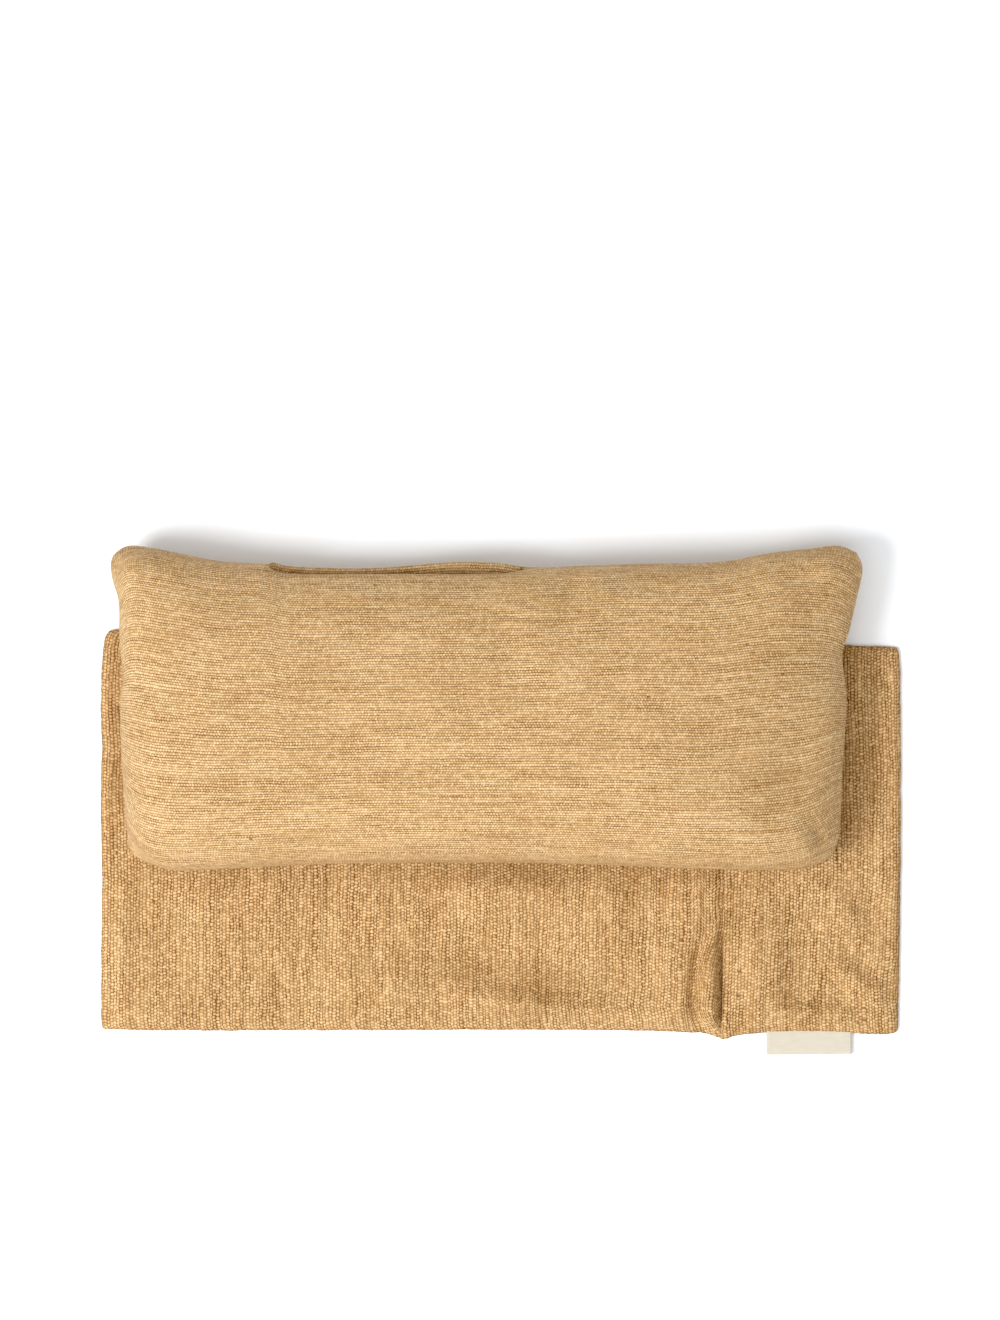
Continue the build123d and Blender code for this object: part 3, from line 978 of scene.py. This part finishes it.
def underlap_height(x, y, edge):
    """The underlap's upper face: swollen over the seam allowance, waved where it is free, and at the mouth
    creased and then rising in a ridge that falls steeply beside the flap."""
    clear = outside_pillow(x, y)
    free = clear * (1 - over(x, 66, 72))
    crease = 57.7 * MM + 2.9 * MM * ((y + 57 * MM) / (15 * MM)) ** 2
    beside = over(-y, 35, 53) * (1 - over(-y, 65, 70))
    apron = 2.7 * MM * beside * over(x, 32, 52) * (1 - fade(x, crease - 3.0 * MM, crease))
    ridge = 5.0 * MM * gaping(y) * fade(x, crease - 0.8 * MM, crease + 3.4 * MM)
    ridge *= 1 - over(x, 63.2, 66.5)
    lip = 0.9 * MM * over(x, 48, 60) * (1 - over(x, 64.2, 66.8)) * clear
    calm = 1 - 0.8 * gaping(y) * over(x, 54, 60)
    waves = 0.55 * MM * swollen_seam(edge) + cover_waves(x, y) * over(edge, 0, 8)
    flat = 1.20 * MM - 0.35 * MM * (1 - over(edge, 0, 1.4))
    return flat + waves * free * calm + (ridge + apron + lip) * over(edge, 0, 3)


def flap_height(x, y, edge):
    """The flap's upper face: up over its hem, down to the underlap, and down to the back past the
    underlap's end. Its folded edge stands open over the mouth."""
    free = outside_pillow(x, y)
    uneven = 0.25 + 0.35 * noise_field(x, y, 22, 12.0) + 0.15 * noise_field(x, y, 8, 3.0)
    waves = np.maximum(uneven + lumps(x, y, FLAP_LUMPS), 0.0) * MM
    waves = waves * over(edge, 0, 8) * over(x, 66, 84) + 0.6 * MM * swollen_seam(edge)
    open_here = over(-y, 24, 46) * (1 - over(-y, 60.5, 69.5))
    lifted = (0.9 + 1.9 * over(x, 66, 79)) * MM * (1 - over(x, 80, 91)) * open_here
    flat = 2.40 * MM - 0.40 * MM * over(x, 76.6, 79.6) - 0.5 * MM * over(x, 105, 109)
    z = flat + (lifted + waves) * free
    at_seam = 0.85 * MM + 0.60 * MM * (1 - over(x, 72, 80))
    return z - (z - at_seam) * (1 - over(edge, 0, 2.2)) ** 2


def with_hem(flap):
    """The flap with its free edge folded under. The hem ends inside the seams, pressed thin there."""
    rows = len(flap)
    up = np.linspace(0.012, 0.988, rows)
    row = np.linspace(0.0, 1.0, rows)
    pressed = 0.4 + 0.6 * fade(np.minimum(row, 1 - row) * COVER_CLOTH[1], 0.0, 3 * MM)
    turned = []
    for inward, down in HEM_FOLD:
        strip = flap[:, :1].copy()
        strip[..., 0] += inward * MM
        if inward > 0:
            across = share_at(FLAP_EDGE) + inward * MM / COVER_CLOTH[0]
            strip[:, 0, :2] = cover_plan.at(np.full(rows, across), up)
        strip[..., 2] -= down * MM * pressed[:, None]
        turned.append(strip)
    return np.concatenate(turned[::-1] + [flap], axis=1)


def make_cover_back():
    """The lower layer."""
    back = cover_sheet(160, 90, back_height)
    mesh = grid_mesh("cover_back_cloth", back, laid_out(back), face_up=False)
    piece = make_piece(mesh, COVER_SILK, "cover", "cover_back_panel")
    thicken(piece)


def make_underlap():
    """The left part of the upper layer, which runs on under the flap."""
    under = cover_sheet(250, 130, underlap_height, 0.0, share_at(UNDERLAP_END))
    mesh = grid_mesh("cover_underlap_cloth", under, laid_out(under))
    piece = make_piece(mesh, COVER_SILK, "cover", "cover_underlap_panel")
    thicken(piece)


def make_flap():
    """The right part of the upper layer, with its hemmed free edge."""
    flap = with_hem(cover_sheet(70, 150, flap_height, share_at(FLAP_EDGE), 1.0))
    flap_cloth = laid_out(flap, share_at(FLAP_EDGE) * COVER_CLOTH[0] - HEM_RUN)
    mesh = grid_mesh("cover_flap_cloth", flap, flap_cloth)
    piece = make_piece(mesh, COVER_SILK, "cover", "cover_flap_panel")
    thicken(piece)


def make_cover_seam():
    """The seam's stitches all round, 1.5 mm inside the outline."""
    ring = np.concatenate([cover_plan.bottom, cover_plan.right[1:], cover_plan.top[-2::-1],
                           cover_plan.left[-2:0:-1]])
    centre, half = np.array([0.0, -10 * MM]), np.array([120 * MM, 59 * MM])
    inward = (centre - ring) / half
    inward = np.sign(inward) * np.abs(inward) ** 6
    inward /= np.linalg.norm(inward, axis=1, keepdims=True)
    seam = np.column_stack([ring + inward * 1.5 * MM, np.full(len(ring), 0.9 * MM)])
    stitches = stitch_row(seam, 2.6 * MM, 0.8)
    make_stitches("cover_seam_stitches", stitches, 0.15 * MM, "cover", "cover_seam_thread")


def make_hem_stitches(name, node, x, height):
    """A row of stitches up the cover at x, at heights given by height(x, y)."""
    y = np.linspace(-67.5 * MM, 45 * MM, 200)
    x = np.full_like(y, x)
    line = np.column_stack([x, y, height(x, y)])
    make_stitches(name, stitch_row(line, 2.6 * MM, 0.75), 0.16 * MM, "cover", node)


def underlap_thread_height(x, y):
    """The underlap's row of stitches is pressed flat under the flap."""
    return np.full_like(y, 1.2 * MM)


def flap_thread_height(x, y):
    """The flap's row of stitches lies in its upper face, and a little higher beside the bottom seam."""
    clear_of_seams = np.full_like(y, 20 * MM)
    return flap_height(x, y, clear_of_seams) - 0.02 * MM + 0.10 * MM * (1 - over(y, -65, -63))


def tape_line():
    """The label's tape from the side, from one sewn-in end round its fold to the other, as (y, z)."""
    corners = [
        (LABEL_SEAM, 1.15 * MM), (LABEL_OUT, 1.2 * MM), (LABEL_FOLD + 0.6 * MM, 1.18 * MM),
        (LABEL_FOLD + 0.15 * MM, 1.05 * MM), (LABEL_FOLD, 0.8 * MM), (LABEL_FOLD + 0.15 * MM, 0.55 * MM),
        (LABEL_FOLD + 0.6 * MM, 0.45 * MM), (LABEL_OUT, 0.45 * MM), (LABEL_SEAM, 0.5 * MM),
    ]
    line = []
    for (y0, z0), (y1, z1) in zip(corners, corners[1:]):
        count = max(1, int(abs(y1 - y0) / (0.5 * MM)))
        for step in range(count):
            share = step / count
            line.append((y0 + (y1 - y0) * share, z0 + (z1 - z0) * share))
    return np.array(line + corners[-1:])


def make_label():
    """A folded tape caught in the seam, blank. It bends where it comes out of the seam."""
    columns = 40
    line = tape_line()
    x = np.linspace(LABEL_LEFT, LABEL_RIGHT, columns)
    y, z = line[:, 0, None], line[:, 1, None]
    # The tape is sewn in very slightly askew.
    askew_x, askew_y = x + (LABEL_SEAM - y) * 0.010, y + (x - LABEL_LEFT) * 0.008
    points = np.stack(np.broadcast_arrays(askew_x, askew_y, z), axis=-1)
    mesh = grid_mesh("label_tape", points, paired(x, run_of(line)[:, None]), face_up=False)
    piece = make_piece(mesh, TAPE, None, "woven_label")
    thicken(piece, TAPE_THICKNESS)
    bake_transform(piece)


# ---- studio
def make_floor():
    """The table that the object lies on."""
    reach = 3.0
    corners = [(-reach, -reach, 0), (reach, -reach, 0), (reach, reach, 0), (-reach, reach, 0)]
    mesh = bpy.data.meshes.new("studio_floor")
    mesh.from_pydata(corners, [], [(0, 1, 2, 3)])
    mesh.materials.append(floor_paper())
    floor = bpy.data.objects.new("studio_floor", mesh)
    bpy.context.collection.objects.link(floor)
    floor.location.z = -0.05 * MM


def make_world():
    """Even white light from all round."""
    world = bpy.data.worlds.new("studio")
    bpy.context.scene.world = world
    world.use_nodes = True
    background = world.node_tree.nodes["Background"]
    background.inputs["Color"].default_value = (1.0, 1.0, 1.0, 1.0)
    background.inputs["Strength"].default_value = 0.66


def make_lamp(name, watts, size, azimuth, elevation):
    """A round lamp 1.6 m away that faces the object; azimuth is in degrees from +X towards +Y."""
    light = bpy.data.lights.new(name, "AREA")
    light.shape = "DISK"
    light.size = size
    light.energy = watts
    lamp = bpy.data.objects.new(name, light)
    bpy.context.collection.objects.link(lamp)
    azimuth, elevation = math.radians(azimuth), math.radians(elevation)
    level = math.cos(elevation)
    toward = Vector((math.cos(azimuth) * level, math.sin(azimuth) * level, math.sin(elevation)))
    lamp.location = toward * 1.6
    lamp.rotation_mode = "QUATERNION"
    lamp.rotation_quaternion = toward.to_track_quat("Z", "Y")


def make_camera():
    """A long lens that looks straight down on the object from 4 m, over a frame 0.396 m high."""
    distance, frame_height, sensor = 4.0, 0.396, 36.0
    lens = bpy.data.cameras.new("camera")
    lens.sensor_width = sensor
    lens.lens = sensor * distance / frame_height
    lens.clip_end = 20.0
    camera = bpy.data.objects.new("camera", lens)
    bpy.context.collection.objects.link(camera)
    camera.location = (-0.0003, 0.0423, distance)
    bpy.context.scene.camera = camera


def set_view():
    """Plain colours, with the darkest tones a little deeper."""
    view = bpy.context.scene.view_settings
    view.view_transform = "Standard"
    view.use_curve_mapping = True
    view.curve_mapping.black_level = (0.02, 0.02, 0.02)


# ---- the whole scene
front_grid, back_grid = make_pillow()
make_filling(front_grid, back_grid)
make_buds()
make_seam_stitches(front_grid)
make_gap_stitches(front_grid)

make_cover_back()
make_underlap()
make_flap()
make_cover_seam()
make_hem_stitches("underlap_hem_stitches", "underlap_hem_thread", UNDERLAP_END - UNDERLAP_HEM,
                  underlap_thread_height)
make_hem_stitches("flap_hem_stitches", "flap_hem_thread", FLAP_EDGE + FLAP_HEM, flap_thread_height)
make_label()

make_floor()
make_world()
make_lamp("window", watts=20.0, size=0.7, azimuth=203, elevation=50)
make_lamp("fill", watts=10.5, size=1.8, azimuth=264, elevation=66)
make_camera()
set_view()
